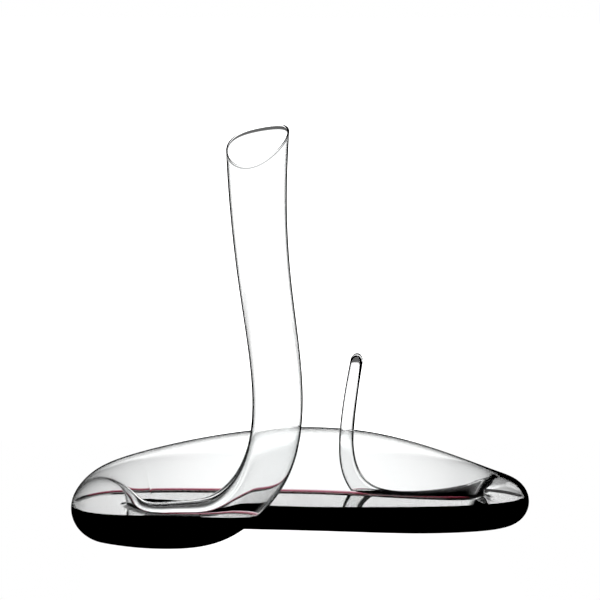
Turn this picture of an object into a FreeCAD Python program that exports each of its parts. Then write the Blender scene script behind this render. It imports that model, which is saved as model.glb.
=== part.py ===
import FreeCAD, Part
import os

from FreeCAD import Placement, Rotation, Vector

# A mouth-blown wine decanter: one glass hose, folded on the table like a snake. It comes down
# from a slanted mouth through an upright neck, bends to the left, folds back into a fat belly,
# folds again behind the belly and ends in a closed upright finger. Wine lies in the low half.
# Origin: on the table, under the middle of the whole; x runs along the belly, +Y to the back.

doc = FreeCAD.newDocument("snake_decanter")
sheet = doc.addObject("Spreadsheet::Sheet", "sizes")

DRIVING_SIZES = (
    ("wall", 2.5, "glass thickness of the hose"),
    ("finger_wall", 2.2, "glass thickness of the tail finger"),
    ("wine_level", 28.0, "height of the wine above the table"),
    ("mouth_x", -35.5, "point on the slanted cut of the mouth"),
    ("mouth_y", -73.0, "point on the slanted cut of the mouth"),
    ("mouth_z", 345.5, "height of the slanted cut on the neck's axis"),
    ("mouth_rise_right", 0.33, "rise of the cut per mm to the right"),
    ("mouth_rise_back", 0.60, "rise of the cut per mm to the back"),
    ("rim_from", 312.0, "height where the rim begins"),
    ("neck_middle", 200.0, "height that parts the upper from the lower neck"),
    ("neck_foot", 100.0, "height where the neck begins to bend"),
    ("bend_end", -72.0, "x where the neck's bend has become the front arm"),
    ("left_fold", -150.0, "x beyond which the hose folds back on the left"),
    ("belly_middle", 0.0, "x that parts the belly's two halves"),
    ("right_fold", 145.0, "x beyond which the hose folds back on the right"),
    ("arm_gap", -17.3, "y of the open gap behind the front arm"),
    ("bend_gap", -49.5, "y of the open gap behind the neck's bend"),
    ("tail_gap", 68.3, "y of the open gap in front of the tail"),
    ("tail_start", 35.0, "x left of the whole tail"),
    ("finger_foot", 36.0, "height where the tail becomes the finger"),
    ("margin", 60.0, "how far the dividing boxes reach past the glass"),
    ("reach", 300.0, "half the length of the largest dividing box"),
)

# The hose in order from the mouth: name, then x, y, z of the middle of its section,
# and half the section's width and height. Where it lies down it sinks about 0.4 below the
# table, and the table plane grinds it flat there.
STATIONS = (
    ("blank", -36.0, -73.0, 375.0, 27.0, 27.0),
    ("collar", -36.5, -73.0, 335.0, 25.3, 25.3),
    ("throat", -35.0, -73.0, 285.0, 23.4, 23.4),
    ("waist", -29.5, -73.0, 225.0, 22.1, 22.1),
    ("shin", -21.5, -73.5, 160.0, 21.2, 21.2),
    ("ankle", -20.3, -75.0, 110.0, 20.5, 20.5),
    ("heel", -29.6, -76.0, 69.0, 19.8, 19.8),
    ("sole", -48.2, -76.0, 41.2, 19.7, 19.7),
    ("instep", -72.0, -76.0, 25.6, 20.2, 20.0),
    ("front", -104.0, -73.5, 20.1, 21.5, 20.5),
    ("front_turn", -141.0, -61.0, 20.8, 23.5, 21.2),
    ("left_near", -169.0, -37.0, 22.8, 25.5, 23.2),
    ("left_side", -178.4, -4.0, 25.3, 26.2, 25.7),
    ("left_far", -168.5, 26.0, 28.3, 29.6, 28.7),
    ("shoulder", -145.0, 42.0, 32.4, 34.0, 32.8),
    ("belly_start", -112.0, 41.5, 37.4, 40.0, 37.8),
    ("belly_rise", -60.0, 31.0, 42.8, 49.0, 43.2),
    ("belly_top", 0.0, 17.5, 46.2, 57.0, 46.6),
    ("belly_fall", 60.0, 6.5, 44.5, 50.0, 44.9),
    ("belly_taper", 107.0, 0.0, 38.4, 39.5, 38.8),
    ("belly_end", 145.0, 2.0, 31.2, 32.0, 31.6),
    ("right_near", 170.0, 14.0, 26.4, 28.2, 26.8),
    ("right_side", 184.5, 39.0, 22.4, 24.4, 22.8),
    ("right_far", 177.5, 67.0, 17.8, 19.5, 18.2),
    ("tail_turn", 154.0, 83.2, 15.1, 16.0, 15.5),
    ("tail", 115.0, 84.8, 13.1, 14.0, 13.5),
    ("tail_end", 84.0, 81.0, 15.5, 11.8, 11.6),
    ("tail_lift", 60.5, 79.5, 26.5, 9.3, 9.1),
    ("tail_knee", 48.2, 79.0, 43.5, 7.6, 7.6),
    ("finger_low", 43.5, 79.0, 66.0, 6.6, 6.6),
    ("finger_mid", 44.7, 79.0, 95.0, 6.1, 6.1),
    ("finger_high", 50.5, 79.0, 135.0, 5.5, 5.5),
)
# The hose is drawn in two runs that share the belly, and are parted at its middle.
FRONT_RUN = ("blank", "belly_taper")
BACK_RUN = ("belly_start", "finger_high")

# The finger's round end: how far it lies above the last station, how far to the right,
# and the share of the last section's radius that is left.
FINGER_END = (
    ("end_low", 12.0, 1.2, 0.90),
    ("end_mid", 17.5, 1.5, 0.66),
    ("end_top", 20.0, 1.6, 0.16),
)
# The hollow's own round end stays below the glass of the tip.
HOLLOW_END = (
    ("hollow_low", 8.0, 0.9, 0.80),
    ("hollow_top", 13.0, 1.2, 0.20),
)

# The hose counts as upright where its direction rises more steeply than this (sine of the
# slope); its sections keep their width front to back there.
UPRIGHT = 0.75
LEVEL_TURN = Rotation(Vector(0, 1, 0), Vector(-1, 0, 0), Vector(0, 0, 1), "ZXY")


def fill_sheet():
    """Write each driving size into its own cell, under its own alias."""
    rows = [(name, value, note) for name, value, note in DRIVING_SIZES]
    for name, *values in STATIONS:
        words = ("x", "y", "z", "wide", "tall")
        rows += [(name + "_" + word, value, "station") for word, value in zip(words, values)]
    for number, (name, value, note) in enumerate(rows, start=1):
        sheet.set("A%d" % number, name)
        sheet.set("B%d" % number, str(value))
        sheet.set("C%d" % number, note)
        sheet.setAlias("B%d" % number, name)
    doc.recompute()


def size(name):
    """A driving size, read back from the sheet."""
    return float(sheet.get(name))


def centre(name):
    """The middle of a station's section."""
    return Vector(size(name + "_x"), size(name + "_y"), size(name + "_z"))


def section_turns():
    """Turn each station's section square to the hose, with its width kept level."""
    names = [row[0] for row in STATIONS]
    turns = {}
    across = Vector(0, 1, 0)
    for number, name in enumerate(names):
        before = centre(names[max(number - 1, 0)])
        after = centre(names[min(number + 1, len(names) - 1)])
        along = (after - before).normalize()
        if abs(along.z) < UPRIGHT:
            level = Vector(along.y, -along.x, 0).normalize()
            across = level if level.dot(across) > 0 else level * -1
        turns[name] = Rotation(across, along.cross(across), along, "ZXY")
    return turns


def ring(label, name, turn, wall):
    """One elliptical section of the hose, drawn in by a wall's thickness."""
    section = doc.addObject("Part::Ellipse", label)
    thinner = " - sizes.%s" % wall if wall else ""
    section.setExpression("MajorRadius", "sizes.%s_wide%s" % (name, thinner))
    section.setExpression("MinorRadius", "sizes.%s_tall%s" % (name, thinner))
    section.Placement = Placement(centre(name), turn)
    for axis in "xyz":
        section.setExpression("Placement.Base." + axis, "sizes.%s_%s" % (name, axis))
    return section


def end_ring(label, lift, shift, share, wall):
    """A level round section of the finger's end, above the last station."""
    last = STATIONS[-1][0]
    section = doc.addObject("Part::Ellipse", label)
    thinner = " - sizes.%s" % wall if wall else ""
    for radius, word in (("MajorRadius", "wide"), ("MinorRadius", "tall")):
        section.setExpression(radius, "(sizes.%s_%s%s) * %s" % (last, word, thinner, share))
    section.Placement = Placement(centre(last), LEVEL_TURN)
    section.setExpression("Placement.Base.x", "sizes.%s_x + %s" % (last, shift))
    section.setExpression("Placement.Base.y", "sizes.%s_y" % last)
    section.setExpression("Placement.Base.z", "sizes.%s_z + %s" % (last, lift))
    return section


def run_names(ends):
    """The names of the stations of one run, from its first to its last."""
    names = [row[0] for row in STATIONS]
    first, last = ends
    return names[names.index(first):names.index(last) + 1]


def hose(label, run, walls, tip):
    """A closed solid through the stations of one run, and through the round tip if it has one."""
    turns = section_turns()
    rings = []
    for name in run_names(run):
        wall = walls["finger" if name.startswith("finger") else "hose"]
        rings.append(ring(label + "_" + name, name, turns[name], wall))
    for name, lift, shift, share in tip:
        rings.append(end_ring(label + "_" + name, lift, shift, share, walls["finger"]))
    loft = doc.addObject("Part::Loft", label)
    loft.Sections = rings
    loft.Solid = True
    loft.Ruled = False
    loft.MaxDegree = 5
    return loft


def box(label, low, high):
    """A dividing box; each corner coordinate is an expression over the sheet."""
    block = doc.addObject("Part::Box", label)
    for axis, side, start, end in zip("xyz", ("Length", "Width", "Height"), low, high):
        block.setExpression("Placement.Base." + axis, start)
        block.setExpression(side, "(%s) - (%s)" % (end, start))
    return block


def boolean(kind, label, base, tool):
    """Part::Cut or Part::Common of two objects."""
    result = doc.addObject("Part::" + kind, label)
    result.Base = base
    result.Tool = tool
    return result


def mouth_block():
    """The block above the slanted cut of the mouth."""
    block = doc.addObject("Part::Box", "mouth_block")
    block.setExpression("Length", "2 * sizes.margin")
    block.setExpression("Width", "2 * sizes.margin")
    block.setExpression("Height", "2 * sizes.margin")
    slope = Vector(-size("mouth_rise_right"), -size("mouth_rise_back"), 1.0).normalize()
    turn = Rotation(Vector(0, 0, 1), slope)
    corner = Vector(-size("margin"), -size("margin"), 0)
    spot = Vector(size("mouth_x"), size("mouth_y"), size("mouth_z"))
    block.Placement = Placement(spot + turn.multVec(corner), turn)
    return block


LEFT, RIGHT = "-sizes.reach", "sizes.reach"
NEAR, FAR = "-sizes.reach", "sizes.reach"
TABLE, SKY = "-sizes.margin", "2 * sizes.reach"
# The stretches of the front run and of the back run. Each has a label, and the low and the high
# corner of the box that divides it from the rest. They meet face to face.
FRONT_STRETCHES = (
    ("rim", (LEFT, NEAR, "sizes.rim_from"), (RIGHT, FAR, SKY)),
    ("upper_neck", (LEFT, NEAR, "sizes.neck_middle"), (RIGHT, FAR, "sizes.rim_from")),
    ("lower_neck", (LEFT, NEAR, "sizes.neck_foot"), (RIGHT, FAR, "sizes.neck_middle")),
    ("neck_bend", ("sizes.bend_end", NEAR, TABLE), (RIGHT, "sizes.bend_gap", "sizes.neck_foot")),
    ("front_arm", ("sizes.left_fold", NEAR, TABLE), ("sizes.bend_end", "sizes.arm_gap", SKY)),
    ("left_bend", (LEFT, NEAR, TABLE), ("sizes.left_fold", FAR, SKY)),
)
BACK_STRETCHES = (
    ("right_bend", ("sizes.right_fold", NEAR, TABLE), (RIGHT, FAR, SKY)),
    ("tail_arm", ("sizes.tail_start", "sizes.tail_gap", TABLE),
     ("sizes.right_fold", FAR, "sizes.finger_foot")),
    ("tail_finger", ("sizes.tail_start", "sizes.tail_gap", "sizes.finger_foot"),
     ("sizes.right_fold", FAR, SKY)),
)
# The belly's halves: a box each, and the neighbours' boxes that are taken out of it.
LEFT_HALF = (("sizes.left_fold", NEAR, TABLE), ("sizes.belly_middle", FAR, "sizes.neck_foot"))
RIGHT_HALF = (("sizes.belly_middle", NEAR, TABLE), ("sizes.right_fold", FAR, "sizes.neck_foot"))
LEFT_NEIGHBOURS = ("neck_bend", "front_arm")
RIGHT_NEIGHBOURS = ("tail_arm", "tail_finger")


def stretch(glass, label, low, high):
    """One stretch of the glass, cut out with its dividing box."""
    return boolean("Common", label, glass, box(label + "_box", low, high))


def belly_half(glass, label, half, neighbours):
    """One half of the belly: its box, less what its neighbours have of that box."""
    part = stretch(glass, label + "_with_" + neighbours[-1], *half)
    for name in neighbours:
        last = name == neighbours[-1]
        step = label if last else label + "_less_" + name
        part = boolean("Cut", step, part, doc.getObject(name + "_box"))
    return part


def glass_run(label, run, tip, hollow_tip, below):
    """The glass of one run: the outer hose ground flat below, with its inside taken out."""
    outer = hose(label + "_outer", run, {"hose": "", "finger": ""}, tip)
    inner = hose(label + "_inner", run, {"hose": "wall", "finger": "finger_wall"}, hollow_tip)
    ground = boolean("Cut", label + "_ground", outer, below)
    if not tip:
        ground = boolean("Cut", label + "_opened", ground, mouth_block())
    return boolean("Cut", label + "_glass", ground, inner), inner


def wine(front_inside, back_inside):
    """The wine: the hose's inside below the wine's level, from both runs in one solid."""
    level = "sizes.wine_level"
    left = box("wine_left_box", (LEFT, NEAR, TABLE), ("sizes.belly_middle", FAR, level))
    right = box("wine_right_box", ("sizes.belly_middle", NEAR, TABLE), (RIGHT, FAR, level))
    left_wine = boolean("Common", "wine_left", front_inside, left)
    right_wine = boolean("Common", "wine_right", back_inside, right)
    return boolean("Fuse", "wine", left_wine, right_wine)


def build():
    """Every sub-part of the decanter."""
    fill_sheet()
    below = box("below_table", (LEFT, NEAR, TABLE), (RIGHT, FAR, "0 * sizes.reach"))
    front_glass, front_inside = glass_run("front", FRONT_RUN, (), (), below)
    back_glass, back_inside = glass_run("back", BACK_RUN, FINGER_END, HOLLOW_END, below)
    parts = [stretch(front_glass, *row) for row in FRONT_STRETCHES]
    parts += [stretch(back_glass, *row) for row in BACK_STRETCHES]
    parts.append(belly_half(front_glass, "belly_left", LEFT_HALF, LEFT_NEIGHBOURS))
    parts.append(belly_half(back_glass, "belly_right", RIGHT_HALF, RIGHT_NEIGHBOURS))
    parts.append(wine(front_inside, back_inside))
    doc.recompute()
    return parts


def check(parts):
    """Stop before anything is written if an object failed or a sub-part isn't sound."""
    for item in doc.Objects:
        if set(item.State) & {"Invalid", "Error"}:
            raise RuntimeError("%s did not compute: %s" % (item.Name, item.State))
    for part in parts:
        if part.Shape.isNull() or not part.Shape.isValid():
            raise RuntimeError("%s has no sound shape" % part.Label)
        if len(part.Shape.Solids) != 1:
            raise RuntimeError("%s has %d solids" % (part.Label, len(part.Shape.Solids)))


def export(parts):
    """Write each sub-part's shape to its own file."""
    os.makedirs("parts", exist_ok=True)
    for part in parts:
        part.Shape.exportStep("parts/%s.step" % part.Label)


decanter = build()
check(decanter)
export(decanter)
for part in decanter:
    print("%-12s %7.1f cm3" % (part.Label, part.Shape.Volume / 1000.0))
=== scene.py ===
import math

import bmesh
import bpy
import numpy as np
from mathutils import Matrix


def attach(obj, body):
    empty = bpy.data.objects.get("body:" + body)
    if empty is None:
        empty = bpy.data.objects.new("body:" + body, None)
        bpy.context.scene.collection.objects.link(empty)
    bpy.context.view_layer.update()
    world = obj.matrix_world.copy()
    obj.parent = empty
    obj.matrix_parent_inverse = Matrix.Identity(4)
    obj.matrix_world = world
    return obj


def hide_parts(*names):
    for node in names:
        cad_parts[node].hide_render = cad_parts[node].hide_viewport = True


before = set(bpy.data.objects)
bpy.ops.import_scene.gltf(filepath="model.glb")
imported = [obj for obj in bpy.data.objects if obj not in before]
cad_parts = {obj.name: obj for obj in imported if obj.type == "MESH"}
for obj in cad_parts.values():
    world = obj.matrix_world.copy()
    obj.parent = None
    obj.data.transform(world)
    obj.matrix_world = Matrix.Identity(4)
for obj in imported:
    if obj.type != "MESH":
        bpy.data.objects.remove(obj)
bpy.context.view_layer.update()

# A folded, mouth-blown glass decanter with red wine at rest in it. The glass is one closed mesh
# with an outer and an inner skin, drawn through the same stations as the CAD hose; the wine is a
# second closed mesh that fills the inner skin up to its level and climbs the wall a little.
# Lengths in the tables are millimetres; meshes are built in metres.

MM = 0.001

# name, x, y, z, half width, half height, wall, extra wall on one side, and that side in degrees.
# Where the hose lies, 0 is the level side behind the front arm and inside the left fold, 90 is up,
# and 180 is the side inside the right fold. In the upright neck 90 points along -X, to the inside
# of its bend, and in the upright finger along +X.
STATIONS = (
    ("blank", -36.0, -73.0, 375.0, 28.1, 28.1, 1.1, 0.0, 90),
    ("collar", -36.5, -73.0, 335.0, 26.3, 26.3, 1.0, 0.0, 90),
    ("throat", -35.1, -73.0, 285.0, 24.2, 24.2, 1.0, 0.0, 90),
    ("waist", -29.6, -73.0, 225.0, 22.6, 22.6, 1.0, 0.0, 90),
    ("shin", -21.2, -73.5, 160.0, 21.9, 21.9, 1.0, 0.0, 90),
    ("ankle", -19.8, -75.0, 110.0, 21.6, 21.6, 1.1, 0.2, 90),
    ("heel", -29.4, -76.0, 69.0, 20.8, 20.8, 1.2, 0.6, 90),
    ("sole", -48.7, -76.0, 41.8, 19.7, 19.7, 1.4, 1.4, 88),
    ("instep", -72.0, -76.0, 26.0, 20.2, 20.0, 2.0, 1.5, 88),
    ("front", -104.0, -76.0, 20.2, 21.6, 20.4, 2.8, 0.5, 90),
    ("front_turn", -141.0, -70.0, 20.6, 24.5, 20.7, 2.6, 0.2, 60),
    ("left_near", -166.8, -46.0, 26.6, 27.6, 27.4, 1.6, 0.2, 30),
    ("left_side", -176.7, -11.0, 26.4, 26.4, 26.8, 1.2, 0.2, 5),
    ("left_far", -167.4, 23.0, 30.0, 30.0, 30.4, 1.1, 0.2, 0),
    ("shoulder", -145.0, 41.0, 33.6, 34.0, 33.8, 0.9, 0.2, 0),
    ("belly_start", -112.0, 41.5, 37.9, 40.0, 38.1, 0.7, 0.0, 0),
    ("belly_rise", -60.0, 31.0, 43.4, 49.0, 43.5, 0.7, 0.0, 0),
    ("belly_top", 0.0, 17.5, 47.2, 57.0, 46.3, 0.7, 0.0, 90),
    ("belly_fall", 60.0, 6.5, 45.5, 50.0, 44.9, 0.7, 0.0, 180),
    ("belly_taper", 107.0, 0.0, 39.7, 39.5, 39.6, 0.7, 0.2, 180),
    ("belly_end", 145.0, 2.0, 33.4, 32.0, 32.8, 0.8, 0.6, 180),
    ("right_near", 170.0, 14.0, 28.4, 28.2, 27.5, 1.5, 2.2, 180),
    ("right_side", 184.8, 39.0, 23.4, 24.4, 22.8, 2.6, 2.6, 180),
    ("right_far", 178.0, 67.0, 17.8, 19.5, 18.2, 2.6, 2.2, 180),
    ("tail_turn", 154.0, 83.2, 15.1, 16.0, 15.5, 2.8, 1.0, 180),
    ("tail", 115.0, 84.8, 13.1, 14.0, 13.5, 1.6, 0.2, 180),
    ("tail_end", 84.0, 81.0, 15.5, 12.2, 12.0, 1.1, 0.1, 90),
    ("tail_lift", 60.5, 79.5, 26.5, 9.8, 9.6, 1.1, 0.1, 90),
    ("tail_knee", 48.2, 79.0, 43.5, 8.2, 8.2, 1.2, 0.2, 90),
    ("finger_low", 43.5, 79.0, 66.0, 7.1, 7.1, 1.2, 0.2, 90),
    ("finger_mid", 44.7, 79.0, 95.0, 6.6, 6.6, 1.1, 0.3, 90),
    ("finger_high", 50.3, 79.0, 135.0, 6.1, 6.1, 1.1, 0.5, 90),
    ("finger_tip", 54.0, 79.0, 156.0, 5.8, 5.8, 1.4, 1.2, 90),
)
ROUND = 112              # points round a section
STEP = 2.2               # distance between sections along the hose
SIDE_SPREAD = 1.6        # how sharply the extra wall keeps to its side
RIM_ROWS = 44            # sections between the slanted rim and the level one below it
RIM_FOOT_Z = 296.0       # height of that level section
LIP_POINTS = 9           # points over the lip, from skin to skin
RIM_CROWDING = 1.7       # crowds those sections toward the lip
BEAD, BEAD_EXTRA = 0.35, 1.4         # fire-polished lip: thicker all round, more at one side
BEAD_LENGTH = 1.6                    # how far it reaches down the hose
BEAD_SIDE, BEAD_SPREAD = -25.0, 1.5  # that side in degrees, and how sharply it keeps to it
CAP_LENGTH = 7.5         # height of the finger's round end
CAP_ROWS = 16
TIP_GLASS = 3.2          # solid glass at the finger's tip
STRIDE = 0.5             # the hose's direction is taken between points this far to either side
# slope of the hose over which its width turns from level to front-to-back
STEEP_FROM, STEEP_OVER = 0.55, 0.35

MOUTH = (-35.3, -73.0, 344.0)            # middle of the curved, slanted rim
RISE_RIGHT, RISE_CURVE = 0.30, 0.0065    # its rise per mm to the right, and how that grows
RISE_BACK, RISE_TWIST = 0.6, 0.0035      # its rise per mm to the back, and how that falls off

WINE_LEVEL = 27.6
MENISCUS = 2.4           # how far the wine climbs the glass where the hose is wide
# from the wide half width to the narrow one, the climb shrinks to its least share
NARROW, WIDE, LEAST_CLIMB = 8.0, 24.0, 0.25
MENISCUS_REACH = 2.7     # distance over which it falls by a factor e
OVERLAP = 0.06           # the wine reaches this far into the glass, so no air shows between
WINE_ROUND = 72          # points round the wetted wall
WINE_ACROSS = 30         # points across the free surface
GRADING, LEAST_SECTIONS = 1.6, 10    # sections more than even spacing needs, and the fewest
SHORE_CROWDING = 2.4     # crowds the surface's points toward the glass
CHUNK = 2000             # surface points measured against the shore at a time
MERGE, SLIVER = 0.02, 0.005          # points and edges closer or shorter than this are joined
CREASE = 38              # degrees between faces from which an edge stays sharp

# Light levels. A span is where a level goes from the first of its two values to the second. Floor
# places are metres; on the backdrop x, y and z are the parts of a direction of length 1.
FLOOR_REACH, FLOOR_DROP = 4.0, 0.0003
FLOOR_SIDE, FLOOR_SIDE_LEVELS = (0.06, 0.32), (1.25, 0.6)    # floor, from its middle to its sides
FLOOR_FAR, FLOOR_FAR_LEVELS = (0.42, 0.65), (0.0, 0.5)       # floor, added further out
SKY_SPAN, SKY_LEVELS = (0.04, 0.18), (1.0, 0.12)             # backdrop, going up
BACK_SPAN, BACK_LEVELS = (0.5, 0.97), (0.6, 1.2)             # backdrop, toward straight behind
FRONT_SPAN, FRONT_LEVELS = (-0.3, 0.2), (0.8, 0.0)           # backdrop, added on the front side
GLOW = 0.7                                                   # added far behind the object
GLOW_START, GLOW_TOP = (0.6, 0.8), (0.04, 0.1)               # where it starts, and how high it goes
NECK_SHIFT, SKY_GLOW = 0.02, (0.1, 0.25)                     # its middle, and where it ends aside
CARD_SIDE, CARD_LEVELS = (0.75, 0.97), (0.0, 2.2)            # low bright card straight behind
CARD_FOOT, CARD_HEAD = (0.07, 0.11), (0.19, 0.24)
HIGH_FOOT, HIGH_HEAD, HIGH_LEVELS = (0.16, 0.24), (0.4, 0.9), (0.9, 0.3)     # paler card above it
HIGH_SIDE = (0.1, 0.6)
RIGHT_SPAN, RIGHT_LEVELS = (-0.05, 0.12), (1.0, 0.05)        # that card, fading to the right
ANY_BOUNCE = 0.5         # glossy depth over which a ray has bounced at all
ONE_SHEET = 2.5          # transmission depth over which it has passed more than one sheet of glass

SENSOR, LENS = 36.0, 122.2           # camera
EYE = (0, -1.811, 0.300)             # its place in metres
LOOK_DOWN, LOOK_AHEAD = 0.090, 1.800     # it looks this far down over this far ahead


def spline(knots, rows):
    """Natural cubic through the rows; returns a function of the parameter."""
    knots, rows = np.asarray(knots, float), np.asarray(rows, float)
    n = len(knots)
    h = np.diff(knots)
    slope = np.diff(rows, axis=0) / h[:, None]
    a = np.eye(n)
    b = np.zeros_like(rows)
    for i in range(1, n - 1):
        a[i, i - 1:i + 2] = h[i - 1], 2 * (h[i - 1] + h[i]), h[i]
        b[i] = 6 * (slope[i] - slope[i - 1])
    m = np.linalg.solve(a, b)

    def value(s):
        s = np.asarray(s, float)
        i = np.clip(np.searchsorted(knots, s) - 1, 0, n - 2)
        d = (s - knots[i])[..., None]
        g = h[i][..., None]
        e = g - d
        return (m[i] * e ** 3 + m[i + 1] * d ** 3) / (6 * g) + (rows[i] / g - m[i] * g / 6) * e + (
            rows[i + 1] / g - m[i + 1] * g / 6) * d

    return value


TABLE = np.array([row[1:] for row in STATIONS])
KNOTS = np.concatenate([[0.0], np.cumsum(np.linalg.norm(np.diff(TABLE[:, :3], axis=0), axis=1))])
NAMES = [row[0] for row in STATIONS]
END = KNOTS[-1]
path = spline(KNOTS, TABLE)


def at(name):
    """Parameter of a named station."""
    return KNOTS[NAMES.index(name)]


def unit(v):
    """Vectors brought to length 1."""
    return v / np.linalg.norm(v, axis=-1, keepdims=True)


def frame_at(s):
    """Row of the table at s, direction of the hose, its width vector and its height vector."""
    rows = path(s)
    along = unit(path(s + STRIDE)[..., :3] - path(s - STRIDE)[..., :3])
    level = np.stack([along[..., 1], -along[..., 0], 0 * along[..., 0]], -1)
    size = np.linalg.norm(level, axis=-1, keepdims=True)
    level = level / np.maximum(size, 1e-6)
    side = np.array([0.0, 1.0, 0.0])
    held = unit(side - along * (along @ side)[..., None])
    steep = np.clip((np.abs(along[..., 2:3]) - STEEP_FROM) / STEEP_OVER, 0, 1)
    steep = steep * steep * (3 - 2 * steep)
    across = level * (1 - steep) + held * steep
    across = unit(across - along * (across * along).sum(-1, keepdims=True))
    return rows, along, across, np.cross(across, along)


def skins(s, turn):
    """The hose at parameter s and angle turn, which are arrays that match.

    Returns the middle, from there the way to the outer and to the inner skin, and the outward
    direction.
    """
    s, turn = np.broadcast_arrays(np.asarray(s, float), np.asarray(turn, float))
    rows, _, across, high = frame_at(s)
    c, n = np.cos(turn)[..., None], np.sin(turn)[..., None]
    a, b, wall = rows[..., 3:4], rows[..., 4:5], rows[..., 5:6]
    radial = a * c * across + b * n * high
    out = unit(c / a * across + n / b * high)
    toward = np.cos(turn - np.radians(rows[..., 7]))
    thick = wall + rows[..., 6:7] * (np.maximum(toward, 0.0) ** SIDE_SPREAD)[..., None]
    return rows[..., :3], radial, radial - out * thick, out


def outer(s, turn):
    """Points of the outer skin."""
    middle, radial, _, _ = skins(s, turn)
    return middle + radial


def inner(s, turn):
    """Points of the inner skin."""
    middle, _, hollow, _ = skins(s, turn)
    return middle + hollow


def rim_height(p):
    """Height of the curved, slanted rim over a point."""
    right, back = p[..., 0] - MOUTH[0], p[..., 1] - MOUTH[1]
    rise = RISE_RIGHT * right + RISE_CURVE * right * right
    return MOUTH[2] + rise + (RISE_BACK - RISE_TWIST * right) * back


def solve(low, high, f, rounds=40):
    """Bisection for arrays: f is negative at low and positive at high."""
    low, high = np.array(low, float), np.array(high, float)
    for _ in range(rounds):
        mid = (low + high) / 2
        over = f(mid) > 0
        high = np.where(over, mid, high)
        low = np.where(over, low, mid)
    return (low + high) / 2


TURNS = np.linspace(0, 2 * math.pi, ROUND, endpoint=False)


def mesh_object(name, points, faces, material):
    """A linked mesh object from points in millimetres."""
    mesh = bpy.data.meshes.new(name)
    mesh.from_pydata([tuple(p) for p in np.asarray(points) * MM], [], faces)
    mesh.materials.append(material)
    made = bpy.data.objects.new(name, mesh)
    bpy.context.collection.objects.link(made)
    return made


def grid_faces(first, rows, columns, flip=False):
    """Quads of rings that lie one after the other in the point list."""
    faces = []
    for i in range(rows - 1):
        for j in range(columns):
            k = (j + 1) % columns
            quad = (first + i * columns + j, first + (i + 1) * columns + j,
                    first + (i + 1) * columns + k, first + i * columns + k)
            faces.append(quad[::-1] if flip else quad)
    return faces


def glass_mesh(material):
    """The whole vessel: outer skin, round lip, inner skin, both closed at the finger's end."""
    # where each column meets the slanted rim
    cut = solve(np.full(ROUND, at("throat")), np.zeros(ROUND),
                lambda s: outer(s, TURNS)[:, 2] - rim_height(outer(s, TURNS)))
    foot = solve(at("waist"), at("collar"), lambda s: path(s)[..., 2] - RIM_FOOT_Z)
    ease = np.linspace(0, 1, RIM_ROWS + 1)[:-1] ** RIM_CROWDING
    rim_s = cut[None, :] * (1 - ease[:, None]) + foot * ease[:, None]

    def skin(which, tip):
        straight_end = tip - CAP_LENGTH
        count = int((straight_end - foot) / STEP)
        body_s = np.linspace(foot, straight_end, count)
        edge = which(rim_s, TURNS[None, :])
        if which is inner:
            out = skins(rim_s, np.broadcast_to(TURNS, rim_s.shape))[3]
            facing = np.maximum(np.cos(TURNS - math.radians(BEAD_SIDE)), 0.0) ** BEAD_SPREAD
            bead = (BEAD + BEAD_EXTRA * facing) * np.exp(-((rim_s - cut) / BEAD_LENGTH) ** 2)
            edge = edge - out * bead[..., None]
        rings = [edge]
        rings.append(which(body_s[:, None], TURNS[None, :]))
        lift = np.linspace(0, math.pi / 2, CAP_ROWS + 1)[1:-1]
        cap_s = straight_end + CAP_LENGTH * np.sin(lift)
        ring = which(cap_s[:, None], TURNS[None, :])
        middle = path(cap_s)[:, None, :3]
        rings.append(middle + (ring - middle) * np.cos(lift)[:, None, None])
        return np.concatenate(rings), path(np.array(tip))[:3]

    outside, outside_tip = skin(outer, END)
    inside, inside_tip = skin(inner, END - TIP_GLASS)
    outside[..., 2] = np.maximum(outside[..., 2], 0.0)

    # the lip: half a circle from the outer edge over to the inner edge
    o, i = outside[0], inside[0]
    mid, half = (o + i) / 2, (o - i) / 2
    up = -frame_at(cut)[1]
    height = np.linalg.norm(half, axis=-1, keepdims=True)
    swing = np.linspace(0, math.pi, LIP_POINTS + 2)[1:-1]
    lip = [mid + half * math.cos(t) + up * height * math.sin(t) for t in swing]

    rings = np.concatenate([inside[::-1], np.stack(lip[::-1]), outside])
    points = [*rings.reshape(-1, 3), inside_tip, outside_tip]
    rows = len(rings)
    faces = grid_faces(0, rows, ROUND)
    low, top = len(points) - 2, len(points) - 1
    last = (rows - 1) * ROUND
    for j in range(ROUND):
        k = (j + 1) % ROUND
        faces.append((low, k, j))
        faces.append((top, last + j, last + k))
    vessel = mesh_object("glass_vessel", points, faces, material)
    vessel.data.polygons.foreach_set("use_smooth", [True] * len(vessel.data.polygons))
    return vessel


def graded(start, stop, step):
    """Values from start to stop, close together at both ends."""
    count = max(int(abs(stop - start) / step * GRADING), LEAST_SECTIONS)
    t = np.linspace(0, math.pi, count + 1)
    return start + (stop - start) * (1 - np.cos(t)) / 2


def wine_skin(s, turn):
    """Points where the wine wets the glass, a little inside it."""
    middle, _, hollow, out = skins(s, turn)
    return middle + hollow + out * OVERLAP


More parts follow.
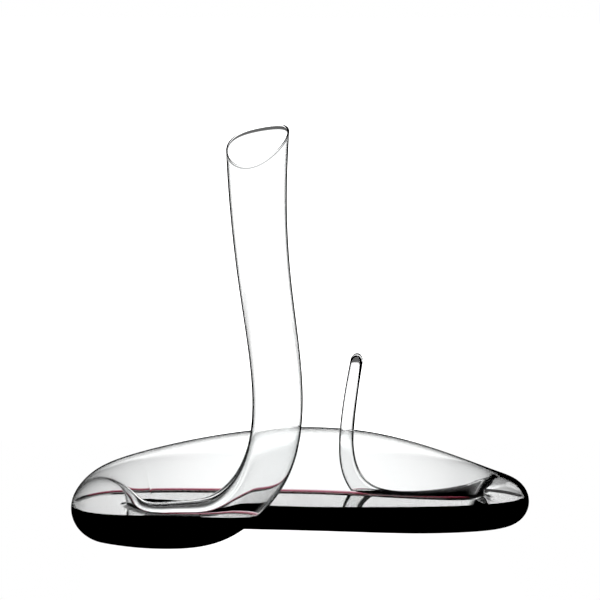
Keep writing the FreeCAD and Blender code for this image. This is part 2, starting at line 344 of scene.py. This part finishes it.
def wine_mesh(material):
    """The wine: wet wall of the inner skin, and a free surface that climbs at the wall."""
    bottom, top = -math.pi / 2, math.pi / 2

    def climb(s):
        return MENISCUS * np.clip((path(s)[..., 3] - NARROW) / (WIDE - NARROW), LEAST_CLIMB, 1)

    def low_over(s):
        return wine_skin(s, np.full(np.shape(s), bottom))[..., 2] - WINE_LEVEL - climb(s)

    def top_over(s):
        return wine_skin(s, np.full(np.shape(s), top))[..., 2] - WINE_LEVEL - climb(s)

    first = solve(at("front"), at("ankle"), low_over)
    closing = solve(at("tail"), at("right_near"), top_over)
    opening = solve(at("tail"), at("tail_knee"), top_over)
    last = solve(at("tail"), at("tail_knee"), low_over)
    parts = [graded(first, closing, STEP), graded(closing, opening, STEP)[1:],
             graded(opening, last, STEP)[1:]]
    s = np.concatenate(parts)

    def edge(sign):
        """Angle where the contact line lies, going up from the bottom on one side."""
        def over(t):
            return wine_skin(s, bottom + sign * t)[:, 2] - WINE_LEVEL - climb(s)
        t = solve(np.zeros(len(s)), np.full(len(s), math.pi), over)
        full = (s >= closing - 1e-6) & (s <= opening + 1e-6)
        t[full] = math.pi
        t[0] = t[-1] = 0.0
        return t

    right, left = edge(1), edge(-1)
    share = np.linspace(0, 1, WINE_ROUND + 1)
    turn = bottom - left[:, None] + (left + right)[:, None] * share[None, :]
    wall = wine_skin(s[:, None], turn)
    a, b = wall[:, 0], wall[:, -1]
    w = np.linspace(-1, 1, WINE_ACROSS + 1)
    w = np.sign(w) * (1 - (1 - np.abs(w)) ** SHORE_CROWDING)
    w = (w + 1) / 2
    sheet = b[:, None] * (1 - w)[None, :, None] + a[:, None] * w[None, :, None]
    dry = (s < closing) | (s > opening)
    shore = np.concatenate([a[dry], b[dry]])[:, :2]
    flat = sheet.reshape(-1, 3)
    distance = np.empty(len(flat))
    for i in range(0, len(flat), CHUNK):
        gap = flat[i:i + CHUNK, None, :2] - shore[None]
        distance[i:i + CHUNK] = np.sqrt((gap ** 2).sum(-1).min(-1))
    distance = distance.reshape(sheet.shape[:2])
    distance[:, 0] = distance[:, -1] = 0
    rise = climb(s)[:, None] * np.exp(-distance / MENISCUS_REACH)
    sheet[..., 2] = np.where(dry[:, None], WINE_LEVEL + rise, sheet[..., 2])

    loop = np.concatenate([wall, sheet[:, 1:-1]], axis=1)
    columns = loop.shape[1]
    points = loop.reshape(-1, 3)
    faces = grid_faces(0, len(s), columns)
    drink = mesh_object("wine_at_rest", points, faces, material)
    work = bmesh.new()
    work.from_mesh(drink.data)
    bmesh.ops.remove_doubles(work, verts=work.verts, dist=MERGE * MM)
    bmesh.ops.dissolve_degenerate(work, edges=work.edges, dist=SLIVER * MM)
    open_edges = [e for e in work.edges if len(e.link_faces) < 2]
    if open_edges:
        bmesh.ops.holes_fill(work, edges=open_edges)
    bmesh.ops.recalc_face_normals(work, faces=work.faces)
    for face in work.faces:
        face.smooth = True
    for e in work.edges:
        e.smooth = e.calc_face_angle(0.0) < math.radians(CREASE)
    work.to_mesh(drink.data)
    work.free()
    return drink


def tree_of(material):
    """Nodes, links, shader and output of a material."""
    material.use_nodes = True
    nodes, links = material.node_tree.nodes, material.node_tree.links
    return nodes, links, nodes["Principled BSDF"], nodes["Material Output"]


def mottled(nodes, links, shader, size, colours, wave):
    """Slow waves in a surface's height, and a faint drift between two colours with them."""
    place = nodes.new("ShaderNodeTexCoord")
    noise = nodes.new("ShaderNodeTexNoise")
    noise.inputs["Scale"].default_value = 1.0 / size
    noise.inputs["Detail"].default_value = 1.0
    links.new(place.outputs["Object"], noise.inputs["Vector"])
    tint = nodes.new("ShaderNodeMix")
    tint.data_type = "RGBA"
    first, second = [s for s in tint.inputs if s.type == "RGBA"]
    first.default_value, second.default_value = (*colours[0], 1), (*colours[1], 1)
    links.new(noise.outputs[0], tint.inputs[0])
    links.new([s for s in tint.outputs if s.type == "RGBA"][0], shader.inputs["Base Color"])
    bump = nodes.new("ShaderNodeBump")
    bump.inputs["Distance"].default_value = wave
    links.new(noise.outputs[0], bump.inputs["Height"])
    links.new(bump.outputs["Normal"], shader.inputs["Normal"])


def clear_glass():
    """Colourless glass with faint unevenness from blowing."""
    material = bpy.data.materials.new("clear_blown_glass")
    nodes, links, shader, _ = tree_of(material)
    mottled(nodes, links, shader, size=0.045, wave=0.00006,
            colours=((0.99, 0.99, 0.99), (0.975, 0.985, 0.985)))
    shader.inputs["Roughness"].default_value = 0.0
    shader.inputs["IOR"].default_value = 1.5
    shader.inputs["Transmission Weight"].default_value = 1.0
    return material


def red_wine():
    """Wine that is nearly black in depth and dark red where it is thin."""
    material = bpy.data.materials.new("deep_red_wine")
    nodes, links, shader, output = tree_of(material)
    mottled(nodes, links, shader, size=0.06, wave=0.00002,
            colours=((1.0, 1.0, 1.0), (0.97, 0.93, 0.95)))
    shader.inputs["Roughness"].default_value = 0.0
    shader.inputs["IOR"].default_value = 1.34
    shader.inputs["Specular Tint"].default_value = (1.0, 0.92, 0.95, 1)
    shader.inputs["Transmission Weight"].default_value = 1.0
    depth = nodes.new("ShaderNodeVolumeAbsorption")
    depth.inputs["Color"].default_value = (0.64, 0.22, 0.34, 1)
    depth.inputs["Density"].default_value = 2200.0
    links.new(depth.outputs["Volume"], output.inputs["Volume"])
    return material


def math_node(nodes, links, kind, first, second):
    """A Math node over two values or sockets."""
    node = nodes.new("ShaderNodeMath")
    node.operation = kind
    for socket, value in zip(node.inputs, (first, second)):
        if isinstance(value, (int, float)):
            socket.default_value = value
        else:
            links.new(value, socket)
    return node.outputs[0]


def ramp(nodes, links, value, span, levels):
    """A smooth step of a value from one level to another."""
    node = nodes.new("ShaderNodeMapRange")
    node.interpolation_type = "SMOOTHSTEP"
    for name, number in zip(("From Min", "From Max", "To Min", "To Max"), (*span, *levels)):
        node.inputs[name].default_value = number
    links.new(value, node.inputs["Value"])
    return node.outputs[0]


def times(nodes, links, *values):
    """Product of several values or sockets."""
    total = values[0]
    for value in values[1:]:
        total = math_node(nodes, links, "MULTIPLY", total, value)
    return total


def studio():
    """A floor and a backdrop for bright-field glass.

    The camera sees both as white. Light that has only passed through glass meets levels that
    change with place. Light that has bounced off glass or wine meets black, and once it has
    passed more than one sheet of glass also a bright low card and a paler one above it.
    """
    scene = bpy.context.scene
    mesh = bpy.data.meshes.new("floor")
    far, low = FLOOR_REACH, -FLOOR_DROP
    mesh.from_pydata([(-far, -far, low), (far, -far, low), (far, far, low), (-far, far, low)],
                     [], [(0, 1, 2, 3)])
    floor = bpy.data.objects.new("floor", mesh)
    bpy.context.collection.objects.link(floor)
    material = bpy.data.materials.new("pale_floor")
    nodes, links, shader, _ = tree_of(material)
    shader.inputs["Base Color"].default_value = (0.0, 0.0, 0.0, 1)
    shader.inputs["Roughness"].default_value = 0.9
    shader.inputs["Specular IOR Level"].default_value = 0.0
    shader.inputs["Emission Color"].default_value = (1, 1, 1, 1)
    place = nodes.new("ShaderNodeNewGeometry")
    spot = nodes.new("ShaderNodeSeparateXYZ")
    links.new(place.outputs["Position"], spot.inputs[0])
    aside = math_node(nodes, links, "ABSOLUTE", spot.outputs["X"], 0.0)
    ray = nodes.new("ShaderNodeLightPath")
    glow = ramp(nodes, links, spot.outputs["Y"], GLOW_START, (0.0, GLOW))
    wide = math_node(nodes, links, "ADD",
                     ramp(nodes, links, aside, FLOOR_SIDE, FLOOR_SIDE_LEVELS),
                     ramp(nodes, links, aside, FLOOR_FAR, FLOOR_FAR_LEVELS))
    through = math_node(nodes, links, "ADD", wide, glow)
    open_air = math_node(nodes, links, "LESS_THAN", ray.outputs["Glossy Depth"], ANY_BOUNCE)
    seen = math_node(nodes, links, "MAXIMUM", times(nodes, links, through, open_air),
                     ray.outputs["Is Camera Ray"])
    links.new(seen, shader.inputs["Emission Strength"])
    mesh.materials.append(material)

    world = bpy.data.worlds.new("studio")
    scene.world = world
    world.use_nodes = True
    nodes, links = world.node_tree.nodes, world.node_tree.links
    back = nodes["Background"]
    where = nodes.new("ShaderNodeTexCoord")
    parts = nodes.new("ShaderNodeSeparateXYZ")
    links.new(where.outputs["Generated"], parts.inputs[0])
    x, y, z = parts.outputs
    ray = nodes.new("ShaderNodeLightPath")
    off_neck = math_node(nodes, links, "ABSOLUTE",
                         math_node(nodes, links, "ADD", x, NECK_SHIFT), 0.0)
    glow = times(nodes, links, ramp(nodes, links, z, GLOW_TOP, (GLOW, 0.0)),
                 ramp(nodes, links, off_neck, SKY_GLOW, (1.0, 0.0)))
    around = math_node(nodes, links, "ADD", ramp(nodes, links, y, BACK_SPAN, BACK_LEVELS),
                       ramp(nodes, links, y, FRONT_SPAN, FRONT_LEVELS))
    through = times(nodes, links, ramp(nodes, links, z, SKY_SPAN, SKY_LEVELS), around)
    through = math_node(nodes, links, "ADD", through, glow)
    low_card = times(nodes, links, ramp(nodes, links, z, CARD_FOOT, (0.0, 1.0)),
                     ramp(nodes, links, z, CARD_HEAD, (1.0, 0.0)),
                     ramp(nodes, links, y, CARD_SIDE, CARD_LEVELS))
    high_card = times(nodes, links, ramp(nodes, links, z, HIGH_FOOT, (0.0, 1.0)),
                      ramp(nodes, links, z, HIGH_HEAD, HIGH_LEVELS),
                      ramp(nodes, links, y, HIGH_SIDE, (0.0, 1.0)),
                      ramp(nodes, links, x, RIGHT_SPAN, RIGHT_LEVELS))
    within = math_node(nodes, links, "GREATER_THAN", ray.outputs["Transmission Depth"], ONE_SHEET)
    card = times(nodes, links, math_node(nodes, links, "ADD", low_card, high_card), within)
    mirrored = math_node(nodes, links, "GREATER_THAN", ray.outputs["Glossy Depth"], ANY_BOUNCE)
    pick = nodes.new("ShaderNodeMix")
    pick.data_type = "FLOAT"
    links.new(mirrored, pick.inputs[0])
    links.new(through, pick.inputs[2])
    links.new(card, pick.inputs[3])
    seen = math_node(nodes, links, "MAXIMUM", pick.outputs[0], ray.outputs["Is Camera Ray"])
    links.new(seen, back.inputs["Strength"])
    back.inputs["Color"].default_value = (1, 1, 1, 1)


def camera():
    """A long lens from a little above the table."""
    view = bpy.data.cameras.new("camera")
    view.sensor_width = SENSOR
    view.lens = LENS
    eye = bpy.data.objects.new("camera", view)
    eye.location = EYE
    eye.rotation_euler = (math.radians(90) - math.atan2(LOOK_DOWN, LOOK_AHEAD), 0, 0)
    bpy.context.collection.objects.link(eye)
    bpy.context.scene.camera = eye


camera()
studio()
vessel = glass_mesh(clear_glass())
drink = wine_mesh(red_wine())
GLASS = ("rim", "upper_neck", "lower_neck", "neck_bend", "front_arm", "left_bend", "belly_left",
         "belly_right", "right_bend", "tail_arm", "tail_finger")
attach(vessel, "root")
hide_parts(*GLASS)
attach(drink, "root")
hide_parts("wine")

scene = bpy.context.scene
scene.view_settings.view_transform = "Standard"
scene.cycles.max_bounces = 40
scene.cycles.transmission_bounces = 40
scene.cycles.glossy_bounces = 12
scene.cycles.use_denoising = True
